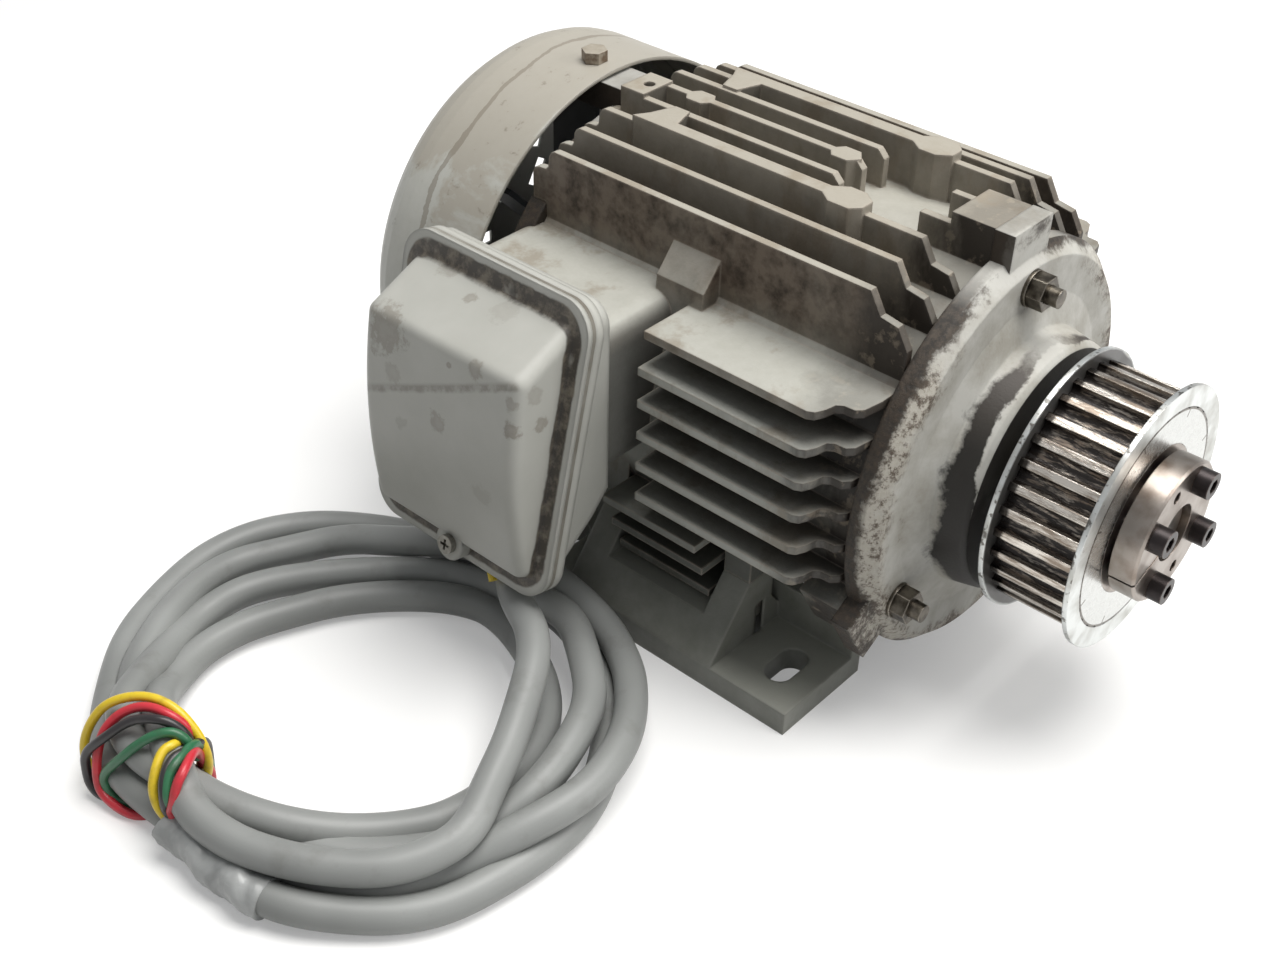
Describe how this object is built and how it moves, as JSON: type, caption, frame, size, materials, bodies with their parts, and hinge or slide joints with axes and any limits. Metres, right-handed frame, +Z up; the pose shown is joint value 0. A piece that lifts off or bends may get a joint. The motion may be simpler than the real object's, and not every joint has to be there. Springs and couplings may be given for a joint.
{
  "type": "induction motor",
  "caption": "Foot-mounted finned induction motor with a side terminal box, a coiled supply cable and a flanged toothed belt pulley on a clamping bush.",
  "frame": {"origin": "centre of the foot slot pattern on the base plane", "axes": "+Y along the shaft towards the fan, pulley at -Y; terminal box on -X; +Z up"},
  "size_m": [0.3303, 0.2915, 0.1638],
  "materials": {
    "frame_paint": "grey paint dulled by brown oily dirt, paler on the fin edges",
    "foot_paint": "dark greenish grey paint with a film of oil",
    "shield_paint": "light grey paint with dark grease and pale crust at the rim",
    "cowl_paint": "grey paint with faint brown streaks",
    "box_paint": "smooth grey paint with brown spots",
    "lamination_steel": "dull stacked sheet steel",
    "winding_copper": "varnished copper wire",
    "lead_plastic": "dark sleeved wire",
    "cage_aluminium": "cast aluminium",
    "shaft_steel": "turned steel",
    "bearing_steel": "ground steel",
    "black_rubber": "black rubber",
    "zinc_steel": "zinc-plated steel, slightly tarnished",
    "fan_plastic": "black moulded plastic",
    "block_plastic": "brown moulded plastic",
    "stud_brass": "plain brass",
    "pulley_steel": "bright tooth tops with black grease between them",
    "flange_zinc": "bright zinc-plated steel",
    "bush_steel": "satin turned steel",
    "black_oxide_steel": "black oxide",
    "cable_grey": "grey flexible plastic sheath",
    "tape_silver": "wrinkled grey tape",
    "wire_colours": "yellow, red, black and green insulated wires"
  },
  "bodies": {
    "stator": {"box_base_screws": "zinc_steel", "cable_coil": "cable_grey", "cable_drop": "cable_grey", "cable_grommet": "black_rubber", "cable_tape": "tape_silver", "cowl_screws": "zinc_steel", "drive_bearing_outer_ring": "bearing_steel", "drive_end_shield": "shield_paint", "earth_screw": "zinc_steel", "fan_bearing_outer_ring": "bearing_steel", "fan_cowl": "cowl_paint", "fan_end_shield": "shield_paint", "foot_screws": "zinc_steel", "left_foot": "foot_paint", "lid_gasket": "black_rubber", "lid_screw": "zinc_steel", "preload_washer": "bearing_steel", "right_foot": "foot_paint", "seat_gasket": "black_rubber", "shaft_seal": "black_rubber", "stator_core": "lamination_steel", "stator_frame": "frame_paint", "stator_leads": "lead_plastic", "stator_winding": "winding_copper", "terminal_block": "block_plastic", "terminal_box_base": "box_paint", "terminal_box_lid": "box_paint", "terminal_nuts": "stud_brass", "terminal_studs": "stud_brass", "tie_bolts": "zinc_steel", "tie_nuts": "zinc_steel", "tie_washers": "zinc_steel", "wire_wrap": "wire_colours"},
    "rotor": {"shaft": "shaft_steel", "rotor_core": "lamination_steel", "rotor_cage": "cage_aluminium", "drive_bearing_inner_ring": "bearing_steel", "fan_bearing_inner_ring": "bearing_steel", "cooling_fan": "fan_plastic", "fan_clip": "bearing_steel", "timing_pulley": "pulley_steel", "pulley_front_flange": "flange_zinc", "pulley_rear_flange": "flange_zinc", "bush_inner_sleeve": "bush_steel", "bush_outer_sleeve": "bush_steel", "bush_screws": "black_oxide_steel"},
    "drive_ball_set": {"drive_bearing_balls": "bearing_steel", "drive_bearing_cage": "bearing_steel"},
    "fan_ball_set": {"fan_bearing_balls": "bearing_steel", "fan_bearing_cage": "bearing_steel"}
  },
  "joints": [
    {"name": "rotor_spin", "type": "hinge", "parent": "stator", "child": "rotor", "pos_m": [0, 0, 0.08], "axis": [0, 1, 0], "continuous": true},
    {"name": "drive_ball_orbit", "type": "hinge", "parent": "stator", "child": "drive_ball_set", "pos_m": [0, -0.081, 0.08], "axis": [0, 1, 0], "continuous": true},
    {"name": "fan_ball_orbit", "type": "hinge", "parent": "stator", "child": "fan_ball_set", "pos_m": [0, 0.08, 0.08], "axis": [0, 1, 0], "continuous": true}
  ],
  "couplings": [
    {"joint": "drive_ball_orbit", "follows": "rotor_spin", "ratio": 0.3831},
    {"joint": "fan_ball_orbit", "follows": "rotor_spin", "ratio": 0.383}
  ]
}
